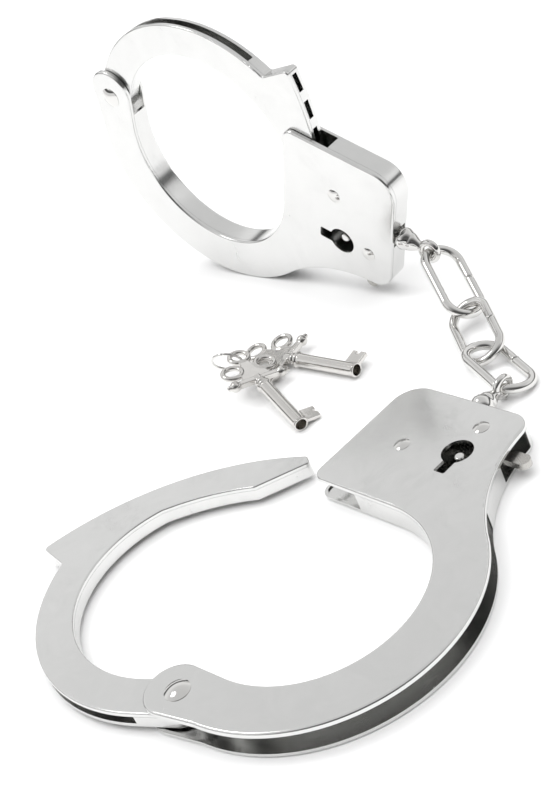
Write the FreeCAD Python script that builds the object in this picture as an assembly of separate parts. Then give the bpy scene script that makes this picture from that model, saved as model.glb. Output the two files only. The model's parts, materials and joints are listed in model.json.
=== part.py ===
"""Handcuffs: two stamped steel cuffs, three chain links between two swivels, two keys and a key ring.

One cuff lies flat with its jaw open, and the other stands on its edge with its jaw nearly shut. Both
cuffs are the same model, made once in the cuff's own frame and placed twice. That frame has its origin
at the centre of the wrist arc, +X towards the chain, +Y towards the jaw, and the front face at Z = 0.
"""
import FreeCAD, Part
import math
import os

Vec = FreeCAD.Vector
Z_AXIS = Vec(0, 0, 1)

# ---- Driving dimensions, in millimetres and degrees ----

# Stamped shells
SHEET = 0.8
CUFF_DEPTH = 7.0
LIP = 1.2
SEAM = 0.06
EDGE_ROUND = 0.6
WRIST_RADIUS = 27.2
CHEEK_RADIUS = 39.1

# Case of the lock
CASE_END_X = 63.3
CASE_TOP_Y = 27.5
MID_Z = -CUFF_DEPTH / 2

# Rivets and key post: places are (x, y) in the cuff's frame
HINGE_XY = (-34.3, 6.0)
HINGE_SHANK = 1.6
PAWL_XY = (44.5, 13.2)
SPACER_XY = (56.2, -1.3)
SMALL_SHANK = 1.1
KEY_XY = (47.5, -1.5)
KEY_HOLE_RADIUS = 3.85
KEY_SLOT_END_X = 40.3
KEY_SLOT_HALF = 1.6
KEY_POST_RADIUS = 1.2

# Jaw: its frame has the origin on the hinge
JAW_FRONT_Z = -1.4
JAW_BACK_Z = -5.6
JAW_SPLIT_Z = -2.4
TOOTH_RADIUS = 73.9
JAW_ROOT_RADIUS = 5.4
JAW_OUTER_CENTRE = (36.8, -3.2)
JAW_OUTER_RADIUS = 40.9
JAW_INNER_CENTRE = (35.8, -1.4)
JAW_INNER_RADIUS = 29.7
JAW_TIP_ROUND = 1.2
WINDOW_COUNT = 8
WINDOW_FIRST_DEG = 28.9
WINDOW_PITCH_DEG = 6.1
WINDOW_LENGTH = 5.0
WINDOW_HEIGHT = 1.6
LOWER_JAW_DEG = 46.0
UPPER_JAW_DEG = 0.0

# Pawl and its release tongue
PAWL_THICK = 1.6
TONGUE_HALF = 1.75
UPPER_PAWL_DEG = 5.4

# Swivel, chain and keys
SWIVEL_Y = 7.3
EYE_X = 72.8
EYE_RING = 2.4
EYE_WIRE = 0.9
LINK_WIRE = 1.2
LINK_LENGTH = 24.6
LINK_WIDTH = 12.1
KEY_BARREL = 1.85
KEY_BORE = 1.45
KEY_BARREL_LENGTH = 20.0
KEY_BIT_REACH = 5.8
KEY_RING_RADIUS = 4.0
KEY_RING_WIRE = 0.4

# Running clearance between a turning piece and its pin
RUNNING = 0.08


def outline(start, *steps):
    """A closed face in the XY plane, from lines (x, y) and arcs (mid x, mid y, end x, end y)."""
    here = Vec(start[0], start[1], 0)
    first = here
    edges = []
    for step in steps:
        end = Vec(step[-2], step[-1], 0)
        if len(step) == 4:
            edges.append(Part.Arc(here, Vec(step[0], step[1], 0), end).toShape())
        else:
            edges.append(Part.LineSegment(here, end).toShape())
        here = end
    if here.distanceToPoint(first) > 1e-6:
        edges.append(Part.LineSegment(here, first).toShape())
    return Part.Face(Part.Wire(edges))


def slab(face, top, bottom):
    """A face extruded between two heights."""
    moved = face.copy()
    moved.translate(Vec(0, 0, bottom))
    return moved.extrude(Vec(0, 0, top - bottom))


def inset(face, distance):
    """The same face with its edge moved inwards."""
    return Part.Face(face.OuterWire.makeOffset2D(-distance))


def box(x_range, y_range, z_range):
    """A box from three (low, high) pairs."""
    size = [pair[1] - pair[0] for pair in (x_range, y_range, z_range)]
    return Part.makeBox(*size, Vec(x_range[0], y_range[0], z_range[0]))


def rod(radius, x, y, bottom, top):
    """A round bar along Z."""
    return Part.makeCylinder(radius, top - bottom, Vec(x, y, bottom))


def sector(centre, inner, outer, from_deg, to_deg, bottom, top):
    """A piece of a flat ring between two angles."""
    height = top - bottom
    span = to_deg - from_deg
    base = Vec(centre[0], centre[1], bottom)
    ring = Part.makeCylinder(outer, height, base, Z_AXIS, span)
    ring = ring.cut(Part.makeCylinder(inner, height, base))
    ring.rotate(base, Z_AXIS, from_deg)
    return ring


def round_rim(block, heights, radius):
    """Rounds the edges that lie wholly at the given heights."""
    rim = []
    for edge in block.Edges:
        low, high = edge.BoundBox.ZMin, edge.BoundBox.ZMax
        if any(abs(low - z) < 1e-4 and abs(high - z) < 1e-4 for z in heights):
            rim.append(edge)
    return block.makeFillet(radius, rim)


# ---- Shells ----

def cheek_face():
    """The outline that both shells share: case, cheek arc, hinge lobe and wrist opening."""
    return outline(
        (27.6, 24.5),
        (28.5, 26.6, 30.6, CASE_TOP_Y),
        (56.3, CASE_TOP_Y),
        (61.25, 25.45, CASE_END_X, 20.5),
        (CASE_END_X, -6.2),
        (61.8, -9.7, 58.3, -11.2),
        (44.0, -14.9, 30.2, -24.8),
        (-5.0, -38.78, -38.9, -3.9),
        (-41.3, 6.2),
        (-34.4, 14.3, -27.5, 8.4),
        (-26.9, 0.0),
        (0.35, -26.3, 27.6, 1.0),
    )


def hollow_cheek():
    """The closed hollow that the two shells make together."""
    face = cheek_face()
    block = round_rim(slab(face, 0, -CUFF_DEPTH), (0, -CUFF_DEPTH), EDGE_ROUND)
    return block.cut(slab(inset(face, SHEET), -SHEET, -CUFF_DEPTH + SHEET))


def wall_openings():
    """Where the rear shell has no wall: mouth, open side of the arc, swivel slot and tongue slot."""
    low, high = -CUFF_DEPTH + LIP, -LIP + SEAM
    mouth = box((20, 41.5), (13.5, 32), (low, high))
    lobe = box((-50, -25), (2.5, 20), (low, high))
    open_side = sector((0, 0), CHEEK_RADIUS - 2.5, 50, 176, 320.5, low, high)
    swivel_slot = box((60, 70), (SWIVEL_Y - 2.8, SWIVEL_Y + 2.8), (low, high))
    tongue_slot = box((48.0, 59.9), (-25, -9.8), (low, high))
    jaw_exit = sector(HINGE_XY, 63.7, TOOTH_RADIUS + 0.4, -32, -19, low, high)
    return [mouth, lobe, open_side, swivel_slot, tongue_slot, jaw_exit]


def rivet_holes(bottom, top):
    """Holes for the three rivets."""
    return [
        rod(HINGE_SHANK, *HINGE_XY, bottom, top),
        rod(SMALL_SHANK, *PAWL_XY, bottom, top),
        rod(SMALL_SHANK, *SPACER_XY, bottom, top),
    ]


def front_shell():
    """The front plate with its turned lip and the keyhole."""
    half = hollow_cheek().common(box((-60, 80), (-60, 60), (-LIP, 1)))
    round_hole = rod(KEY_HOLE_RADIUS, *KEY_XY, -LIP, 1)
    slot_y = (KEY_XY[1] - 0.4 - KEY_SLOT_HALF, KEY_XY[1] - 0.4 + KEY_SLOT_HALF)
    slot = box((KEY_SLOT_END_X, KEY_XY[0]), slot_y, (-LIP, 1))
    slot = slot.makeFillet(0.5, [e for e in slot.Edges if abs(e.BoundBox.ZLength) > 1 and e.BoundBox.XMax < 41])
    return half.cut([round_hole.fuse(slot)] + rivet_holes(-LIP, 1))


def rear_shell():
    """The rear tray, with the walls of the case and of the wrist side."""
    half = hollow_cheek().common(box((-60, 80), (-60, 60), (-CUFF_DEPTH - 1, -LIP - SEAM)))
    post_hole = rod(KEY_POST_RADIUS, *KEY_XY, -CUFF_DEPTH - 1, -CUFF_DEPTH + SHEET)
    return half.cut(wall_openings() + [post_hole] + rivet_holes(-CUFF_DEPTH - 1, -CUFF_DEPTH + SHEET))


def domed_rivet(place, shank, head_radius, head_height):
    """A rivet with a low dome in front and a flush end behind."""
    ball = (head_radius ** 2 + head_height ** 2) / (2 * head_height)
    dome = Part.makeSphere(ball, Vec(place[0], place[1], head_height - ball))
    dome = dome.common(rod(head_radius + 1, *place, 0, head_height + 1))
    return dome.fuse(rod(shank, *place, -CUFF_DEPTH, 0)).removeSplitter()


def key_post():
    """The pin that the key's barrel slides over, riveted into the rear plate on a small flange."""
    inner = -CUFF_DEPTH + SHEET
    pin = rod(KEY_POST_RADIUS, *KEY_XY, -CUFF_DEPTH, -LIP)
    pin = round_rim(pin, (-LIP,), 0.35)
    return pin.fuse(rod(2.3, *KEY_XY, inner, inner + 0.7)).removeSplitter()


# ---- Lock ----

def pawl():
    """The stamped pawl: boss on its rivet, one tooth towards the jaw, and an arm that ends in a tongue."""
    top = MID_Z + PAWL_THICK / 2
    bottom = MID_Z - PAWL_THICK / 2
    tongue_x = 53.2
    plate = outline(
        (41.35, 12.6),
        (42.5, 15.7, 47.5, 14.3),
        (48.6, 10.5),
        (51.9, 3.8),
        (52.5, -3.5),
        (tongue_x + TONGUE_HALF, -10.5),
        (tongue_x + TONGUE_HALF, -15.1),
        (tongue_x, -16.85, tongue_x - TONGUE_HALF, -15.1),
        (tongue_x - TONGUE_HALF, -10.5),
        (50.2, -3.5),
        (50.1, 2.6),
        (46.9, 9.0),
        (45.2, 9.4),
        (43.4, 3.2),
        (39.95, 4.1),
    )
    return slab(plate, top, bottom).cut(rod(SMALL_SHANK + RUNNING, *PAWL_XY, bottom, top))


def pawl_spring():
    """A wire spring wound close round the pawl's rivet, above the pawl, with two straight legs."""
    wire, coil, pitch = 0.24, 1.9, 0.44
    base_z = -2.38
    right = PAWL_XY[0] + coil
    lower_leg = Part.makeCylinder(wire, 5.0, Vec(right, PAWL_XY[1], base_z), Vec(0.45, -0.9, 0))
    upper_leg = Part.makeCylinder(wire, 10.5, Vec(right, PAWL_XY[1], base_z + pitch), Vec(0.1, 1, 0))
    turns = [Part.makeTorus(coil, wire, Vec(*PAWL_XY, base_z + pitch * count), Z_AXIS) for count in (0, 1)]
    return turns[0].fuse([turns[1], lower_leg, upper_leg])


# ---- Jaw, in its own frame with the hinge at the origin ----

def on_circle(centre, radius, angle_deg):
    """The point of a circle at an angle."""
    angle = math.radians(angle_deg)
    return (centre[0] + radius * math.cos(angle), centre[1] + radius * math.sin(angle))


def tangent(root_radius, centre, radius, side):
    """Both ends of a line touching the root circle and another one; radius < 0 puts that one beyond it."""
    distance = math.hypot(*centre)
    turn = math.degrees(math.acos((root_radius - radius) / distance))
    angle = math.degrees(math.atan2(centre[1], centre[0])) + side * turn
    return on_circle((0, 0), root_radius, angle), on_circle(centre, radius, angle)


def jaw_face():
    """Root round the hinge, main arc, the step, the toothed arc, the tip and the bevel inside it."""
    outer_root, outer_start = tangent(JAW_ROOT_RADIUS, JAW_OUTER_CENTRE, JAW_OUTER_RADIUS, 1)
    inner_root, inner_end = tangent(JAW_ROOT_RADIUS, JAW_INNER_CENTRE, -JAW_INNER_RADIUS, -1)
    return outline(
        outer_root,
        outer_start,
        on_circle(JAW_OUTER_CENTRE, JAW_OUTER_RADIUS, 120) + on_circle(JAW_OUTER_CENTRE, JAW_OUTER_RADIUS, 64.2),
        on_circle((0, 0), TOOTH_RADIUS, 32.3),
        (TOOTH_RADIUS, 0.0) + on_circle((0, 0), TOOTH_RADIUS, -22.4),
        (65.6, -28.9),
        (62.2, -14.8),
        (64.3, 1.0) + on_circle(JAW_INNER_CENTRE, JAW_INNER_RADIUS, 19.8),
        on_circle(JAW_INNER_CENTRE, JAW_INNER_RADIUS, 90) + inner_end,
        inner_root,
        (0.0, -JAW_ROOT_RADIUS) + outer_root,
    )


def hollow_jaw(top, bottom, floor_top, floor_bottom):
    """The jaw's outline between two heights, with the hollow between two others."""
    face = jaw_face()
    block = slab(face, JAW_FRONT_Z, JAW_BACK_Z)
    corners = [edge for edge in block.Edges if edge.BoundBox.ZLength > 4 and edge.BoundBox.XMin > 50]
    block = round_rim(block.makeFillet(JAW_TIP_ROUND, corners), (JAW_FRONT_Z, JAW_BACK_Z), 0.4)
    block = block.common(box((-20, 90), (-60, 60), (bottom, top)))
    block = block.cut(slab(inset(face, SHEET), floor_top, floor_bottom))
    return block.cut(rod(HINGE_SHANK + RUNNING, 0, 0, JAW_BACK_Z, JAW_FRONT_Z))


def jaw_front():
    """The jaw's front stamping: a plate with a short lip."""
    return hollow_jaw(JAW_FRONT_Z, JAW_SPLIT_Z, JAW_FRONT_Z - SHEET, JAW_SPLIT_Z)


def jaw_rear():
    """The jaw's rear tray, with the ladder of windows in its toothed wall and an open groove outside."""
    tray = hollow_jaw(JAW_SPLIT_Z - SEAM, JAW_BACK_Z, JAW_SPLIT_Z, JAW_BACK_Z + SHEET)
    groove = sector((36.8, -3.2), 39.4, 43.0, 72, 160, JAW_BACK_Z + 1.2, JAW_SPLIT_Z)
    windows = []
    for index in range(WINDOW_COUNT):
        window = box((TOOTH_RADIUS - 2, TOOTH_RADIUS + 1), (-WINDOW_LENGTH / 2, WINDOW_LENGTH / 2),
                     (MID_Z - WINDOW_HEIGHT / 2, MID_Z + WINDOW_HEIGHT / 2))
        window.rotate(Vec(0, 0, 0), Z_AXIS, WINDOW_FIRST_DEG - index * WINDOW_PITCH_DEG)
        windows.append(window)
    return tray.cut([groove] + windows)


# ---- Swivel ----

def swivel(eye_roll_deg):
    """Head and shank inside the slot, a rounded collar outside it and an eye for the chain."""
    profile = [
        Part.LineSegment(Vec(60.0, 0, 0), Vec(60.0, 2.3, 0)).toShape(),
        Part.LineSegment(Vec(60.0, 2.3, 0), Vec(61.7, 2.3, 0)).toShape(),
        Part.LineSegment(Vec(61.7, 2.3, 0), Vec(61.7, 1.5, 0)).toShape(),
        Part.LineSegment(Vec(61.7, 1.5, 0), Vec(63.6, 1.5, 0)).toShape(),
        Part.LineSegment(Vec(63.6, 1.5, 0), Vec(63.6, 2.5, 0)).toShape(),
        Part.Arc(Vec(63.6, 2.5, 0), Vec(65.2, 3.1, 0), Vec(67.0, 2.9, 0)).toShape(),
        Part.Arc(Vec(67.0, 2.9, 0), Vec(69.2, 2.1, 0), Vec(70.4, 1.1, 0)).toShape(),
        Part.LineSegment(Vec(70.4, 1.1, 0), Vec(70.7, 0, 0)).toShape(),
        Part.LineSegment(Vec(70.7, 0, 0), Vec(60.0, 0, 0)).toShape(),
    ]
    body = Part.Face(Part.Wire(profile)).revolve(Vec(0, 0, 0), Vec(1, 0, 0), 360)
    eye = Part.makeTorus(EYE_RING, EYE_WIRE, Vec(EYE_X, 0, 0), Z_AXIS)
    piece = body.fuse(eye).removeSplitter()
    piece.rotate(Vec(0, 0, 0), Vec(1, 0, 0), eye_roll_deg)
    piece.translate(Vec(0, SWIVEL_Y, MID_Z))
    return piece


def swivel_washer():
    """The washer between the swivel's head and the case wall."""
    centre = Vec(61.85, SWIVEL_Y, MID_Z)
    ring = Part.makeCylinder(2.6, 0.5, centre, Vec(1, 0, 0))
    return ring.cut(Part.makeCylinder(1.55, 0.5, centre, Vec(1, 0, 0)))


# ---- Chain link and keys, each in its own frame ----

def chain_link():
    """An oval of round wire in the XY plane, with its length along X and a butt seam in one side."""
    reach = LINK_LENGTH / 2 - LINK_WIRE
    half = LINK_WIDTH / 2 - LINK_WIRE
    turn = reach - half
    path = [
        Part.LineSegment(Vec(-turn, half, 0), Vec(turn, half, 0)).toShape(),
        Part.Arc(Vec(turn, half, 0), Vec(reach, 0, 0), Vec(turn, -half, 0)).toShape(),
        Part.LineSegment(Vec(turn, -half, 0), Vec(-turn, -half, 0)).toShape(),
        Part.Arc(Vec(-turn, -half, 0), Vec(-reach, 0, 0), Vec(-turn, half, 0)).toShape(),
    ]
    profile = Part.Wire(Part.makeCircle(LINK_WIRE, Vec(-turn, half, 0), Vec(1, 0, 0)))
    ring = Part.Wire(path).makePipeShell([profile], True, True)
    seam = Part.makeCylinder(LINK_WIRE + 1, 0.14, Vec(0, half, 0), Vec(1, 0.25, 0))
    seam = seam.cut(Part.makeCylinder(LINK_WIRE - 0.25, 0.3, Vec(-0.05, half, 0), Vec(1, 0, 0)))
    return ring.cut(seam)


def key():
    """A cast key along X: mouth at +X, collars, cross bar with balls, and a bow of three ring lobes."""
    barrel = Part.makeCylinder(KEY_BARREL, KEY_BARREL_LENGTH, Vec(0, 0, 0), Vec(1, 0, 0))
    mouth = Part.makeTorus(KEY_BARREL - 0.15, 0.3, Vec(KEY_BARREL_LENGTH - 0.3, 0, 0), Vec(1, 0, 0))
    collar = Part.makeTorus(1.45, 0.75, Vec(-0.4, 0, 0), Vec(1, 0, 0))
    bead = Part.makeTorus(0.95, 0.75, Vec(-2.1, 0, 0), Vec(1, 0, 0))
    neck = Part.makeCylinder(1.2, 5.2, Vec(-5.0, 0, 0), Vec(1, 0, 0))
    bar = box((-4.9, -3.3), (-6.0, 6.0), (-0.8, 0.8))
    solids = [mouth, collar, bead, neck, bar]
    for side in (-1, 1):
        solids.append(Part.makeSphere(1.5, Vec(-4.1, 6.6 * side, 0)))
        solids.append(Part.makeSphere(0.75, Vec(-4.1, 8.2 * side, 0)))
    for x, y in ((-10.0, 4.7), (-10.0, -4.7), (-16.0, 0.0)):
        solids.append(Part.makeTorus(2.55, 0.75, Vec(x, y, 0), Z_AXIS))
    web = outline((-4.5, 4.4), (-4.5, -4.4), (-7.6, -3.2), (-10.2, -1.8), (-13.6, -1.2), (-13.6, 1.2),
                  (-10.2, 1.8), (-7.6, 3.2))
    solids.append(slab(web, 0.5, -0.5))
    bit = box((14.9, 19.4), (1.0, KEY_BIT_REACH), (-0.6, 0.6))
    notch = box((16.4, 17.4), (KEY_BIT_REACH - 1.0, KEY_BIT_REACH + 1), (-1, 1))
    whole = barrel.fuse(solids + [bit.cut(notch)])
    bore = Part.makeCylinder(KEY_BORE, 9.0, Vec(KEY_BARREL_LENGTH - 9.0, 0, 0), Vec(1, 0, 0))
    holes = [rod(1.85, x, y, -2, 2) for x, y in ((-10.0, 4.7), (-10.0, -4.7), (-16.0, 0.0))]
    return whole.cut([bore] + holes).removeSplitter()


def key_ring():
    """A thin wire ring in the XY plane."""
    return Part.makeTorus(KEY_RING_RADIUS, KEY_RING_WIRE, Vec(0, 0, 0), Z_AXIS)


# ---- Where the pieces stand, above a floor at Z = 0 ----

def frame_from(origin, x_dir, z_dir):
    """A placement from its origin and two of its axes; Y completes it."""
    x_axis = Vec(*x_dir).normalize()
    z_axis = Vec(*z_dir)
    z_axis = (z_axis - x_axis * z_axis.dot(x_axis)).normalize()
    return FreeCAD.Placement(Vec(*origin), FreeCAD.Rotation(x_axis, z_axis.cross(x_axis), z_axis))


def heading(azimuth_deg, pitch_deg=0.0):
    """A unit vector from its azimuth in the floor's plane and its pitch above it."""
    azimuth, pitch = math.radians(azimuth_deg), math.radians(pitch_deg)
    return (math.cos(pitch) * math.cos(azimuth), math.cos(pitch) * math.sin(azimuth), math.sin(pitch))


LOWER_CUFF = frame_from((-10.4, -73.0, CUFF_DEPTH), heading(29.8), (0, 0, 1))
UPPER_CUFF = frame_from((9.3, 77.0, CHEEK_RADIUS), heading(-55.0, -25.3), heading(-145.0))

# Key placements: collar point, direction towards the mouth, and the direction its flat face looks
KEY_1 = frame_from((-1.2, 12.4, 4.38), (0.206, -0.974, -0.12), (0.24, 0.05, 0.97))
KEY_2 = frame_from((9.7, 20.7, 2.32), (0.589, -0.808, 0.0), (-0.1, -0.07, 0.99))
RING_POSE = frame_from((-7.73, 29.97, 5.52), (0.831, -0.519, 0.199), (0.409, 0.813, 0.414))

# Chain links: centre, azimuth, pitch and roll of the length axis
LINK_POSES = {
    "link_1": ((53.30, 13.19, 9.07), -91.55, -25.06, -25.45),
    "link_2": ((51.71, -5.02, 4.06), -95.24, -6.48, 20.86),
    "link_3": ((51.36, -21.14, 2.86), -80.65, -3.06, -15.34),
}
UPPER_EYE_ROLL = -11.1
LOWER_EYE_ROLL = 97.5


def turned(shape, place, angle_deg):
    """A copy turned about a vertical pin at (x, y) in the cuff's frame."""
    copy = shape.copy()
    copy.rotate(Vec(place[0], place[1], 0), Z_AXIS, angle_deg)
    return copy


def cuff_pieces(jaw_deg, pawl_deg, eye_roll_deg):
    """Every piece of one cuff in the cuff's own frame."""
    hinge = Vec(HINGE_XY[0], HINGE_XY[1], 0)
    pieces = {
        "front_shell": front_shell(),
        "rear_shell": rear_shell(),
        "hinge_rivet": domed_rivet(HINGE_XY, HINGE_SHANK, 3.0, 0.9),
        "pawl_rivet": domed_rivet(PAWL_XY, SMALL_SHANK, 1.95, 0.55),
        "case_rivet": domed_rivet(SPACER_XY, SMALL_SHANK, 2.0, 0.6),
        "key_post": key_post(),
        "pawl": turned(pawl(), PAWL_XY, pawl_deg),
        "pawl_spring": pawl_spring(),
        "swivel": swivel(eye_roll_deg),
        "swivel_washer": swivel_washer(),
    }
    for name, half in (("jaw_front", jaw_front()), ("jaw_rear", jaw_rear())):
        half.rotate(Vec(0, 0, 0), Z_AXIS, jaw_deg)
        half.translate(hinge)
        pieces[name] = half
    return pieces


def link_placement(centre, azimuth_deg, pitch_deg, roll_deg):
    """A link's placement: length along the given heading, then rolled about it."""
    length = Vec(*heading(azimuth_deg, pitch_deg))
    placement = frame_from(centre, (length.x, length.y, length.z), (0, 0, 1))
    return placement.multiply(FreeCAD.Placement(Vec(), FreeCAD.Rotation(Vec(1, 0, 0), roll_deg)))


def placed(shape, placement):
    """A copy moved by a placement."""
    return shape.transformed(placement.toMatrix(), True)


def assembly():
    """All pieces by name, on a floor at Z = 0."""
    pieces = {}
    for name, shape in cuff_pieces(LOWER_JAW_DEG, 0.0, LOWER_EYE_ROLL).items():
        pieces["lower_" + name] = placed(shape, LOWER_CUFF)
    for name, shape in cuff_pieces(UPPER_JAW_DEG, UPPER_PAWL_DEG, UPPER_EYE_ROLL).items():
        pieces["upper_" + name] = placed(shape, UPPER_CUFF)
    link = chain_link()
    for name, pose in LINK_POSES.items():
        pieces[name] = placed(link, link_placement(*pose))
    pieces["key_1"] = placed(key(), KEY_1)
    pieces["key_2"] = placed(key(), KEY_2)
    pieces["key_ring"] = placed(key_ring(), RING_POSE)
    return pieces


def centring(pieces):
    """The shift that brings the middle of the whole footprint to the origin and the lowest point to Z = 0."""
    whole = FreeCAD.BoundBox()
    for shape in pieces.values():
        whole.add(shape.optimalBoundingBox(False))
    return Vec(-(whole.XMin + whole.XMax) / 2, -(whole.YMin + whole.YMax) / 2, -whole.ZMin)


def main():
    os.makedirs("parts", exist_ok=True)
    pieces = assembly()
    shift = centring(pieces)
    for name, shape in pieces.items():
        shape.translate(shift)
        shape.exportStep("parts/" + name + ".step")


if __name__ == "__main__":
    main()
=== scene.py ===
"""Handcuffs in bright nickel: the visible pieces, their finishes and the studio, built on the CAD frame."""

import json
import math

import bmesh
import bpy
import numpy as np
from mathutils import Matrix, Vector


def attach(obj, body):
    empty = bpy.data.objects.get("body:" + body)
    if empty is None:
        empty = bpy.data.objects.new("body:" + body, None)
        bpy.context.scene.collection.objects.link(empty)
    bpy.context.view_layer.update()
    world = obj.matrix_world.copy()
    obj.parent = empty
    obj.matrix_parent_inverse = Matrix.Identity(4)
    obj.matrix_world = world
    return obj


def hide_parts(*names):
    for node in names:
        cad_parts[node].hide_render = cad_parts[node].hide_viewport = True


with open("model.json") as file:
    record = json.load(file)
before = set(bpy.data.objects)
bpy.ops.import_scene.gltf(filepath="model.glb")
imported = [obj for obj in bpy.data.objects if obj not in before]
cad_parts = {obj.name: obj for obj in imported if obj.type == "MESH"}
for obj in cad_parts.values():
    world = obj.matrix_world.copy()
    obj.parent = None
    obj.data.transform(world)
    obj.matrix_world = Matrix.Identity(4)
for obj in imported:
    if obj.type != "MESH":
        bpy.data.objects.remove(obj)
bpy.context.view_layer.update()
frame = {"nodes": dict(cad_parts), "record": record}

bl_info = {
    "name": "Handcuffs with chain and keys",
    "version": (1, 0, 0),
    "blender": (4, 5, 0),
    "location": "3D View > Sidebar > Handcuffs",
    "description": "Builds the visible pieces of nickel-plated handcuffs, two keys and their studio",
    "category": "Object",
}

MM = 0.001
SIDES = ("lower", "upper")

# Places in a cuff's own frame: origin at the wrist's centre, x to the chain, z out of the front face
HINGE = (-34.3 * MM, 6.0 * MM, -3.5 * MM)
RIVETS = {"hinge_rivet": (-34.3 * MM, 6.0 * MM), "pawl_rivet": (44.5 * MM, 13.2 * MM),
          "case_rivet": (56.2 * MM, -1.3 * MM)}
SWIVEL_AXIS = (7.3 * MM, -3.5 * MM)
CUFF_DEPTH = 7.0 * MM

# The swivel's eye: its middle along the swivel's axis, where its points begin, and its ring's and wire's radius
EYE_X = 72.8 * MM
EYE_START = 71.2 * MM
EYE_RADIUS = 2.4 * MM
EYE_WIRE = 0.9 * MM
LINK_WIRE = 1.2 * MM

# Each metal by its short name: title, colour in the panel, share of that colour, roughness, long ripple and
# short grain as (size, height), hairline spacing, all in mm, and how far handling marks dull it
METALS = {
    # Bright nickel on buffed, stamped sheet: a near mirror whose reflections wander a little, hazed by handling
    "sheet": ("nickel plate on stamped sheet", "sheet", 1.0, 0.17, (16, 0.03), (0.7, 0.0012), 0.35, 0.14),
    # Bright nickel on drawn wire: tighter ripples, so highlights run as broken streaks along the wire
    "wire": ("nickel plate on drawn wire", "wire", 1.0, 0.05, (5, 0.02), (0.5, 0.001), 0.3, 0.06),
    # Bright nickel on a die casting: soft pebbling under the plate, which breaks the mirror up
    "cast": ("nickel plate on die casting", "cast", 1.0, 0.08, (2.2, 0.03), (0.45, 0.004), 0.3, 0.10),
    # Bright nickel on turned parts: a clear mirror, a little dulled by handling
    "turned": ("nickel plate on turned steel", "wire", 1.0, 0.09, (3, 0.012), (0.4, 0.0012), 0.2, 0.12),
    # Tumbled bare steel: satin grey, no clear reflection
    "steel": ("tumbled steel", "steel", 1.0, 0.26, (4, 0.02), (0.35, 0.004), 0.25, 0.12),
    # Drawn spring wire: darker and satin
    "spring": ("drawn spring wire", "steel", 0.6, 0.3, (2, 0.01), (0.3, 0.003), 0.2, 0.1),
}


# ---- Colours and nodes ----

def linear(hex_code):
    """An sRGB hex colour as linear red, green and blue."""
    parts = [int(hex_code[i:i + 2], 16) / 255 for i in (0, 2, 4)]
    return tuple(c / 12.92 if c <= 0.04045 else ((c + 0.055) / 1.055) ** 2.4 for c in parts)


def add(tree, kind, links=None, values=None, **settings):
    """Adds one node, sets its attributes and sockets, and links sockets of earlier nodes to it."""
    node = tree.nodes.new(kind)
    for key, value in settings.items():
        setattr(node, key, value)
    for key, value in (values or {}).items():
        node.inputs[key].default_value = value
    for key, socket in (links or {}).items():
        tree.links.new(socket, node.inputs[key])
    return node


def per_mm(size_mm):
    """The texture scale whose features are that many millimetres across."""
    return 1 / (size_mm * MM)


# ---- Property groups ----

class HandcuffFinish(bpy.types.PropertyGroup):
    """Colours of the plated and bare metals."""
    sheet: bpy.props.FloatVectorProperty(
        name="Plated sheet", description="Bright nickel on the stamped shells and jaws",
        subtype="COLOR", default=linear("e4e4e3"), min=0, max=1)
    wire: bpy.props.FloatVectorProperty(
        name="Plated wire", description="Bright nickel on the links and the key ring",
        subtype="COLOR", default=linear("e2e1df"), min=0, max=1)
    cast: bpy.props.FloatVectorProperty(
        name="Plated casting", description="Bright nickel on the cast keys",
        subtype="COLOR", default=linear("dedcd9"), min=0, max=1)
    steel: bpy.props.FloatVectorProperty(
        name="Bare steel", description="Tumbled steel of the pawls and springs",
        subtype="COLOR", default=linear("c4c2be"), min=0, max=1)


class HandcuffSizes(bpy.types.PropertyGroup):
    """Sizes of the details that the CAD model leaves plain."""
    seam_depth: bpy.props.FloatProperty(
        name="Link seam depth", description="Depth of the butt seam where a link's wire ends meet",
        unit="LENGTH", default=0.4 * MM, min=0, max=0.8 * MM, precision=5)
    seam_width: bpy.props.FloatProperty(
        name="Link seam width", description="Half width of that seam",
        unit="LENGTH", default=0.16 * MM, min=0.05 * MM, max=1 * MM, precision=5)
    cast_grain: bpy.props.FloatProperty(
        name="Casting detail", description="Smallest feature kept where the key's parts flow together",
        unit="LENGTH", default=0.15 * MM, min=0.1 * MM, max=0.5 * MM, precision=5)
    spring_turns: bpy.props.FloatProperty(
        name="Spring turns", description="Turns of the pawl spring round its rivet",
        default=2.0, min=1, max=3)


class HandcuffStage(bpy.types.PropertyGroup):
    """Floor, lights and camera."""
    floor: bpy.props.FloatVectorProperty(
        name="Floor", description="Colour of the plain floor",
        subtype="COLOR", default=linear("f7f7f7"), min=0, max=1)
    light: bpy.props.FloatProperty(
        name="Softbox power", description="Power of the softbox above the object, in watts",
        subtype="POWER", default=9.2, min=0, max=100)
    lens: bpy.props.FloatProperty(
        name="Lens", description="Focal length of the camera",
        unit="CAMERA", default=72.5, min=20, max=200)
    elevation: bpy.props.FloatProperty(
        name="Elevation", description="How far the camera looks down",
        subtype="ANGLE", default=math.radians(32.2), min=0, max=math.pi / 2)
    roll: bpy.props.FloatProperty(
        name="Roll", description="How far the camera is turned about its own line of sight",
        subtype="ANGLE", default=math.radians(-24.7), min=-math.pi, max=math.pi)


# ---- Materials ----

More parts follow.
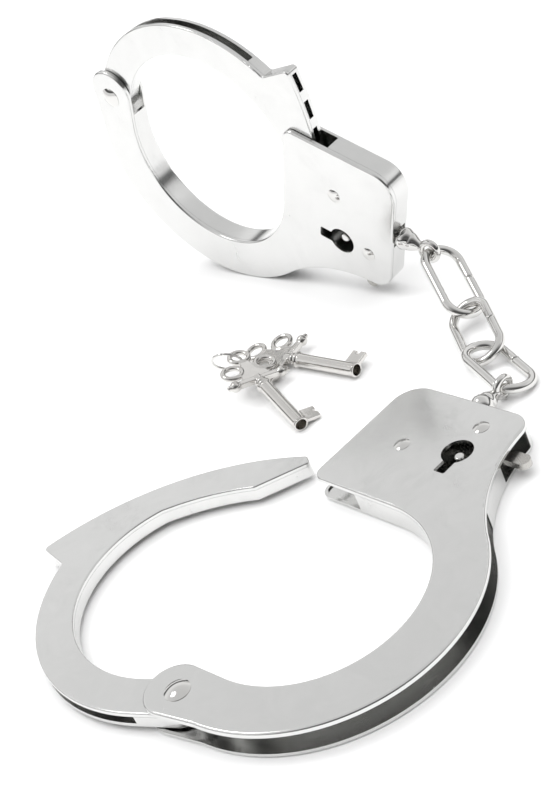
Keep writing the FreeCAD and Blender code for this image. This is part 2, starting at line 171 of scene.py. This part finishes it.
def metal(name, colour, roughness, wave, grain, hairline, haze):
    """A bare or plated metal. wave and grain are (size in mm, height in mm) of its long and short ripples,
    hairline is the spacing in mm of wiping marks, and haze is how far handling marks dull it."""
    material = bpy.data.materials.new(name)
    material.use_nodes = True
    tree = material.node_tree
    shader = tree.nodes["Principled BSDF"]
    shader.inputs["Metallic"].default_value = 1.0
    place = add(tree, "ShaderNodeTexCoord").outputs["Object"]
    long_ripple = add(tree, "ShaderNodeTexNoise", {"Vector": place},
                      {"Scale": per_mm(wave[0]), "Detail": 1.0, "Roughness": 0.4})
    short_ripple = add(tree, "ShaderNodeTexNoise", {"Vector": place},
                       {"Scale": per_mm(grain[0]), "Detail": 3.0, "Roughness": 0.6})
    turned = add(tree, "ShaderNodeMapping", {"Vector": place},
                 {"Rotation": (0.3, 0.2, 0.9), "Scale": (1.0, 0.03, 1.0)})
    wiping = add(tree, "ShaderNodeTexNoise", {"Vector": turned.outputs[0]},
                 {"Scale": per_mm(hairline), "Detail": 2.0, "Roughness": 0.7})
    lines = add(tree, "ShaderNodeMapRange", {"Value": wiping.outputs[0]},
                {"From Min": 0.55, "From Max": 0.75, "To Min": 0.0, "To Max": 0.05})
    blotches = add(tree, "ShaderNodeTexNoise", {"Vector": place},
                   {"Scale": per_mm(9.0), "Detail": 5.0, "Roughness": 0.72, "Distortion": 0.6})
    dull = add(tree, "ShaderNodeMapRange", {"Value": blotches.outputs[0]},
               {"From Min": 0.52, "From Max": 0.74, "To Min": roughness, "To Max": roughness + haze})
    rough = add(tree, "ShaderNodeMath", {0: dull.outputs[0], 1: lines.outputs[0]}, operation="ADD")
    tree.links.new(rough.outputs[0], shader.inputs["Roughness"])
    tint = add(tree, "ShaderNodeMix", {"Factor": blotches.outputs[0]},
               {6: tuple(colour) + (1,), 7: tuple(c * 0.86 for c in colour) + (1,)}, data_type="RGBA")
    tree.links.new(tint.outputs[2], shader.inputs["Base Color"])
    broad = add(tree, "ShaderNodeBump", {"Height": long_ripple.outputs[0]},
                {"Strength": 1.0, "Distance": wave[1] * MM})
    fine = add(tree, "ShaderNodeBump", {"Height": short_ripple.outputs[0], "Normal": broad.outputs[0]},
               {"Strength": 1.0, "Distance": grain[1] * MM})
    tree.links.new(fine.outputs[0], shader.inputs["Normal"])


def finish(name):
    """One of the object's metals by its short name. All are made together, once, from the panel's colours."""
    if METALS[name][0] not in bpy.data.materials:
        colours = bpy.context.scene.handcuff_finish
        for title, colour, share, *surface in METALS.values():
            metal(title, tuple(c * share for c in getattr(colours, colour)), *surface)
    return bpy.data.materials[METALS[name][0]]


# ---- Reading the frame ----

def points_of(node):
    """All vertices of a CAD node as an array of (x, y, z) rows."""
    mesh = frame["nodes"][node].data
    flat = np.empty(len(mesh.vertices) * 3)
    mesh.vertices.foreach_get("co", flat)
    return flat.reshape(-1, 3)


def own_axes(points):
    """Centre, axes and extents of a flat symmetric body: axes run from its longest way to its shortest."""
    _, vectors = np.linalg.eigh(np.cov((points - points.mean(0)).T))
    axes = vectors.T[::-1].copy()
    axes[2] = np.cross(axes[0], axes[1])
    along = points @ axes.T
    low, high = along.min(0), along.max(0)
    return ((low + high) / 2) @ axes, axes, high - low


def joint(name):
    """A joint of the record by name."""
    return next(entry for entry in frame["record"]["behaviour"]["joints"] if entry["name"] == name)


def cuff_frame(side):
    """Origin and axes of one cuff's own frame, from its swivel's axis and its jaw's hinge."""
    x_axis = np.array(joint(side + "_swivel_spin")["axis"], float)
    z_axis = np.array(joint(side + "_jaw_swing")["axis"], float)
    axes = np.array([x_axis, np.cross(z_axis, x_axis), z_axis])
    origin = np.array(joint(side + "_jaw_swing")["pos_m"]) - np.array(HINGE) @ axes
    return origin, axes


def body_of(node):
    """The CAD body that a node belongs to."""
    bodies = frame["record"]["behaviour"]["bodies"]
    return next(name for name, nodes in bodies.items() if node in nodes)


# ---- Surfaces ----

def grid_faces(rows, columns, wrap_rows, wrap_columns):
    """Quads of a grid of rows by columns, joined to itself on the ways that wrap."""
    row = np.arange(rows if wrap_rows else rows - 1)[:, None]
    column = np.arange(columns if wrap_columns else columns - 1)[None, :]
    next_row = (row + 1) % rows
    next_column = (column + 1) % columns
    corners = (row * columns + column, row * columns + next_column,
               next_row * columns + next_column, next_row * columns + column)
    return np.stack([np.broadcast_to(c, (row.size, column.size)) for c in corners], -1).reshape(-1, 4)


def carried(path, across, radius, sides, closed=True):
    """A round profile carried along a path: each ring lies square to the path's direction, with one of its
    axes on direction x across, and radius(length along the path, angle) gives each point's distance."""
    step = np.roll(path, -1, 0) - np.roll(path, 1, 0) if closed else np.gradient(path, axis=0)
    direction = step / np.linalg.norm(step, axis=1)[:, None]
    first = np.cross(direction, across)
    first /= np.linalg.norm(first, axis=1)[:, None]
    second = np.cross(direction, first)
    length = np.concatenate([[0], np.cumsum(np.linalg.norm(np.diff(path, axis=0), axis=1))])
    angle = np.linspace(0, 2 * np.pi, sides, endpoint=False)
    reach = radius(length[:, None], angle[None, :])[..., None]
    ring = np.cos(angle)[None, :, None] * first[:, None] + np.sin(angle)[None, :, None] * second[:, None]
    return path[:, None] + reach * ring


def revolved(profile, origin, axis, side, segments=96):
    """A profile of (distance along the axis, radius) rows turned a full circle about the axis."""
    other = np.cross(axis, side)
    angle = np.linspace(0, 2 * np.pi, segments, endpoint=False)
    around = np.cos(angle)[:, None] * side + np.sin(angle)[:, None] * other
    profile = np.asarray(profile, float)
    return origin + profile[:, None, :1] * axis + profile[:, None, 1:] * around[None]


def piece(name, grids, material, node):
    """Makes one object from grids of points, each (array, wrap rows, wrap columns), closes its seams and
    poles, turns its faces outwards, and lets it stand for a CAD node."""
    vertices, faces, start = [], [], 0
    for grid, wrap_rows, wrap_columns in grids:
        rows, columns = grid.shape[:2]
        vertices.append(grid.reshape(-1, 3))
        faces.append(grid_faces(rows, columns, wrap_rows, wrap_columns) + start)
        start += rows * columns
    mesh = bpy.data.meshes.new(name)
    mesh.from_pydata(np.vstack(vertices).tolist(), [], np.vstack(faces).tolist())
    return stand_in(name, mesh, material, node, outward=True)


def stand_in(name, mesh, material, node, outward=False, sharp_deg=38):
    """An object that replaces a CAD node: doubles merged, smooth but for its sharp edges."""
    work = bmesh.new()
    work.from_mesh(mesh)
    bmesh.ops.remove_doubles(work, verts=work.verts, dist=0.002 * MM)
    bmesh.ops.dissolve_degenerate(work, edges=work.edges, dist=0.001 * MM)
    if outward:
        ends = [edge for edge in work.edges if edge.is_boundary]
        if ends:
            bmesh.ops.holes_fill(work, edges=ends, sides=0)
        bmesh.ops.recalc_face_normals(work, faces=work.faces)
    work.to_mesh(mesh)
    work.free()
    mesh.polygons.foreach_set("use_smooth", np.ones(len(mesh.polygons), bool))
    mesh.set_sharp_from_angle(angle=math.radians(sharp_deg))
    obj = bpy.data.objects.new(name, mesh)
    bpy.context.scene.collection.objects.link(obj)
    obj.data.materials.clear()
    obj.data.materials.append(material)
    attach(obj, body_of(node))
    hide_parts(node)
    return obj


def dress(node, material):
    """Gives a CAD node, whose shape is right as it is, one of the finishes."""
    slots = frame["nodes"][node].material_slots
    if not slots:
        raise RuntimeError(node + " has no material slot")
    for slot in slots:
        slot.material = material


# ---- Operators ----

class HANDCUFF_OT_shells(bpy.types.Operator):
    """The front and rear stampings of both cuffs"""
    bl_idname = "handcuff.shells"
    bl_label = "Shells"

    def execute(self, context):
        for side in SIDES:
            for part in ("front_shell", "rear_shell"):
                dress(side + "_" + part, finish("sheet"))
        return {"FINISHED"}


class HANDCUFF_OT_jaws(bpy.types.Operator):
    """The front and rear stampings of both toothed jaws"""
    bl_idname = "handcuff.jaws"
    bl_label = "Jaws"

    def execute(self, context):
        for side in SIDES:
            for part in ("jaw_front", "jaw_rear"):
                dress(side + "_" + part, finish("sheet"))
        return {"FINISHED"}


class HANDCUFF_OT_locks(bpy.types.Operator):
    """Pawls, key posts and washers, and the wound springs of the pawls"""
    bl_idname = "handcuff.locks"
    bl_label = "Locks"
    COIL_RADIUS, COIL_WIRE = 1.9 * MM, 0.22 * MM
    COIL_BOTTOM, COIL_TOP = -2.4 * MM, -1.7 * MM
    LOWER_LEG_MM, UPPER_LEG_MM = 4.6, 10.0

    def execute(self, context):
        sizes = context.scene.handcuff_sizes
        for side in SIDES:
            dress(side + "_pawl", finish("steel"))
            dress(side + "_key_post", finish("turned"))
            dress(side + "_swivel_washer", finish("turned"))
            coil = self.coil(side, sizes.spring_turns)
            piece(side + "_pawl_coil", [(coil, False, True)], finish("spring"), side + "_pawl_spring")
        return {"FINISHED"}

    def coil(self, side, turns):
        """A round wire on a helix about the rivet, whose ends run straight on as two legs: the lower one
        outwards and down the pawl, the upper one up to the top wall."""
        origin, axes = cuff_frame(side)
        centre = np.array(RIVETS["pawl_rivet"])
        angle = np.linspace(0, 2 * np.pi * turns, int(48 * turns))
        winding = np.column_stack([centre[0] + self.COIL_RADIUS * np.cos(angle),
                                   centre[1] + self.COIL_RADIUS * np.sin(angle),
                                   np.linspace(self.COIL_BOTTOM, self.COIL_TOP, angle.size)])
        reach = np.linspace(1, 0.02, 24)[:, None]
        lower_leg = winding[0] + reach * np.array([0.35, -1.0, 0.0]) * self.LOWER_LEG_MM * MM
        upper_leg = winding[-1] + reach[::-1] * np.array([0.1, 1.0, 0.0]) * self.UPPER_LEG_MM * MM
        path = np.vstack([lower_leg, winding, upper_leg])
        local = carried(path, np.array([0.0, 0.0, 1.0]), plain(self.COIL_WIRE), 14, closed=False)
        return origin + local @ axes


class HANDCUFF_OT_rivets(bpy.types.Operator):
    """The three domed rivets of each cuff"""
    bl_idname = "handcuff.rivets"
    bl_label = "Rivets"
    # Head radius, head height and shank radius in mm
    HEADS = {"hinge_rivet": (3.0, 0.9, 1.6), "pawl_rivet": (1.95, 0.55, 1.1), "case_rivet": (2.0, 0.6, 1.1)}

    def execute(self, context):
        for side in SIDES:
            origin, axes = cuff_frame(side)
            for name, (head, height, shank) in self.HEADS.items():
                place = origin + np.array([*RIVETS[name], 0.0]) @ axes
                profile = self.profile(head * MM, height * MM, shank * MM)
                grid = revolved(profile, place, axes[2], axes[0])
                node = side + "_" + name
                piece(node + "_head", [(grid, False, True)], finish("turned"), node)
        return {"FINISHED"}

    def profile(self, head, height, shank):
        """Height over radius is (1 - (r / head) ** 2) of the dome's height, above a short upright rim;
        the shank runs from under the head to a flush end with a small chamfer."""
        radius = np.linspace(0, 1, 26)
        rim = 0.12 * height
        dome = np.column_stack([rim + (height - rim) * (1 - radius ** 2), radius * head * 0.995])
        under = [[rim * 0.6, head], [0.0, head], [0.0, shank]]
        chamfer, flush = 0.1 * MM, -CUFF_DEPTH + 0.005 * MM
        end = [[-CUFF_DEPTH + chamfer, shank], [flush, shank - chamfer], [flush, 0.0]]
        return np.vstack([dome, under, end])


class HANDCUFF_OT_swivels(bpy.types.Operator):
    """The turned swivels with their eyes"""
    bl_idname = "handcuff.swivels"
    bl_label = "Swivels"

    def execute(self, context):
        for side in SIDES:
            origin, axes = cuff_frame(side)
            on_axis = origin + np.array([0.0, *SWIVEL_AXIS]) @ axes
            points = points_of(side + "_swivel")
            eye_points = points[(points - on_axis) @ axes[0] > EYE_START]
            across = own_axes(eye_points)[1][2]
            across -= axes[0] * (across @ axes[0])
            across /= np.linalg.norm(across)
            body = revolved(self.profile(), on_axis, axes[0], axes[1])
            turn = np.linspace(0, 2 * np.pi, 96, endpoint=False)[:, None]
            up = np.cross(across, axes[0])
            ring = on_axis + EYE_X * axes[0] + EYE_RADIUS * (np.cos(turn) * axes[0] + np.sin(turn) * up)
            eye = carried(ring, across, plain(EYE_WIRE), 28)
            piece(side + "_swivel_eye", [(body, False, True), (eye, True, True)], finish("turned"),
                  side + "_swivel")
        return {"FINISHED"}

    def profile(self):
        """Head, shank, a collar whose radius rises and falls as half a sine wave, and a neck that narrows
        to the eye as a cosine."""
        t = np.linspace(0, 1, 22)
        collar = np.column_stack([63.7 + 3.3 * t, 2.45 + 0.6 * np.sin(np.pi * t ** 0.85)])
        neck = np.column_stack([67.0 + 3.5 * t, 1.15 + 0.65 * (1 + np.cos(np.pi * t))])
        head = [[60.05, 0], [60.05, 2.0], [60.3, 2.28], [61.45, 2.28], [61.68, 2.05], [61.68, 1.5],
                [63.6, 1.5], [63.6, 2.2], [63.65, 2.4]]
        return np.vstack([head, collar, neck[1:], [[70.7, 0.0]]]) * MM


def plain(wire):
    """Radius of a round wire, the same all along."""
    return lambda s, a: wire + 0 * s * a


def slotted(wire, depth, width, at, slant):
    """Radius of a wire with a seam: the wire's radius less a bell-shaped groove that leans with the angle."""
    return lambda s, a: wire - depth * np.exp(-((s - at - slant * np.cos(a)) / width) ** 2)


class HANDCUFF_OT_chain(bpy.types.Operator):
    """The three links, bent from wire and closed with a butt seam"""
    bl_idname = "handcuff.chain"
    bl_label = "Chain links"

    def execute(self, context):
        sizes = context.scene.handcuff_sizes
        for name in ("link_1", "link_2", "link_3"):
            centre, axes, extent = own_axes(points_of(name))
            if axes[1][0] < 0:
                axes = axes * np.array([[1], [-1], [-1]])
            path, seam = self.oval(extent[0] / 2 - LINK_WIRE, extent[1] / 2 - LINK_WIRE)
            radius = slotted(LINK_WIRE, sizes.seam_depth, sizes.seam_width, seam, 0.35 * MM)
            grid = carried(centre + path @ axes, axes[2], radius, 32)
            piece(name + "_wire", [(grid, True, True)], finish("wire"), name)
        return {"FINISHED"}

    def oval(self, reach, half):
        """Two half circles joined by two straight sides; the side that has the seam is divided finely."""
        turn = reach - half
        arc = np.linspace(-np.pi / 2, np.pi / 2, 49)
        offset = np.linspace(-1, 1, 61)
        # Steps shrink towards the middle of the side, where the seam is
        fine = 0.5 + 0.5 * np.sign(offset) * np.abs(offset) ** 2.6
        far = np.column_stack([turn + half * np.cos(arc), half * np.sin(arc)])
        top = np.column_stack([turn - 2 * turn * fine, np.full(61, half)])[1:-1]
        near = np.column_stack([-turn - half * np.cos(arc), -half * np.sin(arc)])
        base = np.column_stack([np.linspace(-turn, turn, 20), np.full(20, -half)])[1:-1]
        flat = np.vstack([far, top, near, base])
        seam = np.pi * half + turn
        return np.column_stack([flat, np.zeros(len(flat))]), seam


class HANDCUFF_OT_keys(bpy.types.Operator):
    """The cast keys: every part flows into the next with a small fillet, as metal cast in one piece does"""
    bl_idname = "handcuff.keys"
    bl_label = "Keys"

    def execute(self, context):
        for name in ("key_1", "key_2"):
            obj = stand_in(name + "_casting", frame["nodes"][name].data.copy(), finish("cast"), name)
            cast = obj.modifiers.new("casting", "REMESH")
            cast.mode = "VOXEL"
            cast.voxel_size = context.scene.handcuff_sizes.cast_grain
            cast.use_smooth_shade = True
            soften = obj.modifiers.new("plating", "SMOOTH")
            soften.factor = 0.5
            soften.iterations = 4
            bpy.context.view_layer.update()
            made = bpy.data.meshes.new_from_object(obj.evaluated_get(bpy.context.evaluated_depsgraph_get()))
            obj.modifiers.clear()
            obj.data = made
            made.polygons.foreach_set("use_smooth", np.ones(len(made.polygons), bool))
        return {"FINISHED"}


class HANDCUFF_OT_key_ring(bpy.types.Operator):
    """The thin wire ring in the end of one key"""
    bl_idname = "handcuff.key_ring"
    bl_label = "Key ring"

    def execute(self, context):
        sizes = context.scene.handcuff_sizes
        centre, axes, extent = own_axes(points_of("key_ring"))
        wire = extent[2] / 2
        radius = (extent[0] + extent[1]) / 4 - wire
        turn = np.linspace(0, 2 * np.pi, 200, endpoint=False)[:, None]
        path = centre + radius * (np.cos(turn) * axes[0] + np.sin(turn) * axes[1])
        seam = slotted(wire, sizes.seam_depth / 3, sizes.seam_width, radius * 1.2, 0.1 * MM)
        grid = carried(path, axes[2], seam, 20)
        piece("key_ring_wire", [(grid, True, True)], finish("wire"), "key_ring")
        return {"FINISHED"}


class HANDCUFF_OT_stage(bpy.types.Operator):
    """Plain floor, soft studio light and the camera"""
    bl_idname = "handcuff.stage"
    bl_label = "Floor, light and camera"
    # Grey of the room by the sine of the height above the horizon: pale at the horizon, a dark band above it,
    # white over that, and softer towards the ceiling
    WALL_GREYS = ((0.0, 1.0), (0.09, 0.95), (0.13, 0.06), (0.24, 0.12), (0.34, 1.0), (0.52, 0.98),
                  (0.66, 0.80), (1.0, 0.72))
    SCRIM_PLACE, SCRIM_SIZE = (0.02, -0.05, 0.80), 1.4
    LAMP_PLACE, LAMP_SIZE, LAMP_SHARE = (-0.33, 0.24, 0.67), 0.20, 0.09
    FLOOR_RADIUS, FLOOR_DROP = 3.0, 0.02 * MM
    FLOOR_RINGS, FLOOR_SPOKES = 24, 64
    CAMERA_PLACE = (0.00643, -0.33881, 0.22018)

    def execute(self, context):
        settings = context.scene.handcuff_stage
        self.floor(settings)
        self.surroundings(context)
        scrim = self.softbox("softbox above", self.SCRIM_PLACE, self.SCRIM_SIZE, settings.light)
        # The plating mirrors the room and the small lamp, not the scrim
        scrim.visible_glossy = False
        self.softbox("small lamp", self.LAMP_PLACE, self.LAMP_SIZE, settings.light * self.LAMP_SHARE)
        self.camera(context, settings)
        return {"FINISHED"}

    def floor(self, settings):
        """A wide disc of matt vinyl, a hair below height 0: rings whose radius is FLOOR_RADIUS times
        (0 to 1) ** 1.5, from the centre outwards."""
        radius = np.linspace(0, 1, self.FLOOR_RINGS)[:, None, None] ** 1.5 * self.FLOOR_RADIUS
        turn = np.linspace(0, 2 * np.pi, self.FLOOR_SPOKES, endpoint=False)[None, :, None]
        height = 0 * radius * turn - self.FLOOR_DROP
        grid = np.concatenate([radius * np.cos(turn), radius * np.sin(turn), height], -1)
        faces = grid_faces(self.FLOOR_RINGS, self.FLOOR_SPOKES, False, True)
        mesh = bpy.data.meshes.new("floor")
        mesh.from_pydata(grid.reshape(-1, 3).tolist(), [], faces.tolist())
        work = bmesh.new()
        work.from_mesh(mesh)
        bmesh.ops.remove_doubles(work, verts=work.verts, dist=1e-6)
        for face in work.faces:
            if face.normal.z < 0:
                face.normal_flip()
        work.to_mesh(mesh)
        work.free()
        floor = bpy.data.objects.new("floor", mesh)
        bpy.context.scene.collection.objects.link(floor)
        # Matt vinyl sweep: no gloss and a grain too fine to see
        vinyl = bpy.data.materials.new("matt vinyl sweep")
        vinyl.use_nodes = True
        tree = vinyl.node_tree
        shader = tree.nodes["Principled BSDF"]
        shader.inputs["Base Color"].default_value = tuple(settings.floor) + (1,)
        shader.inputs["Roughness"].default_value = 0.75
        shader.inputs["Specular IOR Level"].default_value = 0.2
        place = add(tree, "ShaderNodeTexCoord").outputs["Object"]
        grain = add(tree, "ShaderNodeTexNoise", {"Vector": place}, {"Scale": per_mm(0.8)})
        bump = add(tree, "ShaderNodeBump", {"Height": grain.outputs[0]},
                   {"Strength": 0.1, "Distance": 0.01 * MM})
        tree.links.new(bump.outputs[0], shader.inputs["Normal"])
        mesh.materials.append(vinyl)

    def surroundings(self, context):
        """A pale room with a dark band a little above its horizon. The side towards -Y, where the camera stands,
        is dark too but for the strip at the horizon, so that the polished walls have something dark to mirror."""
        world = bpy.data.worlds.new("pale studio")
        world.use_nodes = True
        tree = world.node_tree
        tree.nodes.clear()
        where = add(tree, "ShaderNodeTexCoord").outputs["Generated"]
        height = add(tree, "ShaderNodeSeparateXYZ", {0: where}).outputs["Z"]
        ramp = add(tree, "ShaderNodeValToRGB", {"Fac": height})
        stops = ramp.color_ramp
        stops.elements[0].position = 0.0
        stops.elements[1].position = 1.0
        stops.elements[0].color = (*[self.WALL_GREYS[0][1]] * 3, 1)
        stops.elements[1].color = (*[self.WALL_GREYS[-1][1]] * 3, 1)
        for position, grey in self.WALL_GREYS[1:-1]:
            stops.elements.new(position).color = (grey, grey, grey, 1)
        towards = add(tree, "ShaderNodeSeparateXYZ", {0: where}).outputs["Y"]
        dark_side = add(tree, "ShaderNodeMapRange", {"Value": towards},
                        {"From Min": -0.75, "From Max": -0.25, "To Min": 0.12, "To Max": 1.0})
        low = add(tree, "ShaderNodeMapRange", {"Value": height},
                  {"From Min": 0.10, "From Max": 0.14, "To Min": 1.0, "To Max": 0.0})
        dark_wall = add(tree, "ShaderNodeMath", {0: dark_side.outputs[0], 1: low.outputs[0]},
                        operation="MAXIMUM")
        background = add(tree, "ShaderNodeBackground",
                         {"Color": ramp.outputs[0], "Strength": dark_wall.outputs[0]})
        add(tree, "ShaderNodeOutputWorld", {"Surface": background.outputs[0]})
        context.scene.world = world
        context.scene.view_settings.view_transform = "Standard"
        # Light goes in and out of the hollow shells over many reflections
        context.scene.cycles.max_bounces = 24
        context.scene.cycles.glossy_bounces = 20

    def softbox(self, name, place, size, power):
        """A square soft light at a place, turned to the origin."""
        light = bpy.data.lights.new(name, "AREA")
        light.shape = "SQUARE"
        light.size = size
        light.energy = power
        lamp = bpy.data.objects.new(name, light)
        lamp.location = place
        lamp.rotation_euler = (Vector((0.0, 0.0, 0.0)) - Vector(place)).to_track_quat("-Z", "Y").to_euler()
        bpy.context.scene.collection.objects.link(lamp)
        return lamp

    def camera(self, context, settings):
        """The camera looks along +Y and down by the elevation, then turns about its line of sight."""
        camera = bpy.data.cameras.new("camera")
        camera.lens = settings.lens
        camera.sensor_width = 36
        camera.clip_start = 0.01
        holder = bpy.data.objects.new("camera", camera)
        holder.matrix_world = (Matrix.Translation(self.CAMERA_PLACE)
                               @ Matrix.Rotation(math.pi / 2 - settings.elevation, 4, "X")
                               @ Matrix.Rotation(settings.roll, 4, "Z"))
        context.scene.collection.objects.link(holder)
        context.scene.camera = holder


class HANDCUFF_PT_panel(bpy.types.Panel):
    """Lists the pieces and their settings"""
    bl_idname = "HANDCUFF_PT_panel"
    bl_label = "Handcuffs"
    bl_space_type = "VIEW_3D"
    bl_region_type = "UI"
    bl_category = "Handcuffs"

    def draw(self, context):
        for operator in OPERATORS:
            self.layout.operator(operator.bl_idname)
        for name, kind in GROUPS.items():
            for setting in kind.__annotations__:
                self.layout.prop(getattr(context.scene, name), setting)


GROUPS = {"handcuff_finish": HandcuffFinish, "handcuff_sizes": HandcuffSizes, "handcuff_stage": HandcuffStage}
OPERATORS = (HANDCUFF_OT_shells, HANDCUFF_OT_jaws, HANDCUFF_OT_locks, HANDCUFF_OT_rivets, HANDCUFF_OT_swivels,
             HANDCUFF_OT_chain, HANDCUFF_OT_keys, HANDCUFF_OT_key_ring, HANDCUFF_OT_stage)


def register():
    for group in GROUPS.values():
        bpy.utils.register_class(group)
    for name, group in GROUPS.items():
        setattr(bpy.types.Scene, name, bpy.props.PointerProperty(type=group))
    for operator in OPERATORS:
        bpy.utils.register_class(operator)
    bpy.utils.register_class(HANDCUFF_PT_panel)


def unregister():
    bpy.utils.unregister_class(HANDCUFF_PT_panel)
    for operator in reversed(OPERATORS):
        bpy.utils.unregister_class(operator)
    for name in GROUPS:
        delattr(bpy.types.Scene, name)
    for group in reversed(list(GROUPS.values())):
        bpy.utils.unregister_class(group)


def main():
    register()
    bpy.ops.handcuff.shells()
    bpy.ops.handcuff.jaws()
    bpy.ops.handcuff.locks()
    bpy.ops.handcuff.rivets()
    bpy.ops.handcuff.swivels()
    bpy.ops.handcuff.chain()
    bpy.ops.handcuff.keys()
    bpy.ops.handcuff.key_ring()
    bpy.ops.handcuff.stage()


if __name__ == "__main__":
    main()
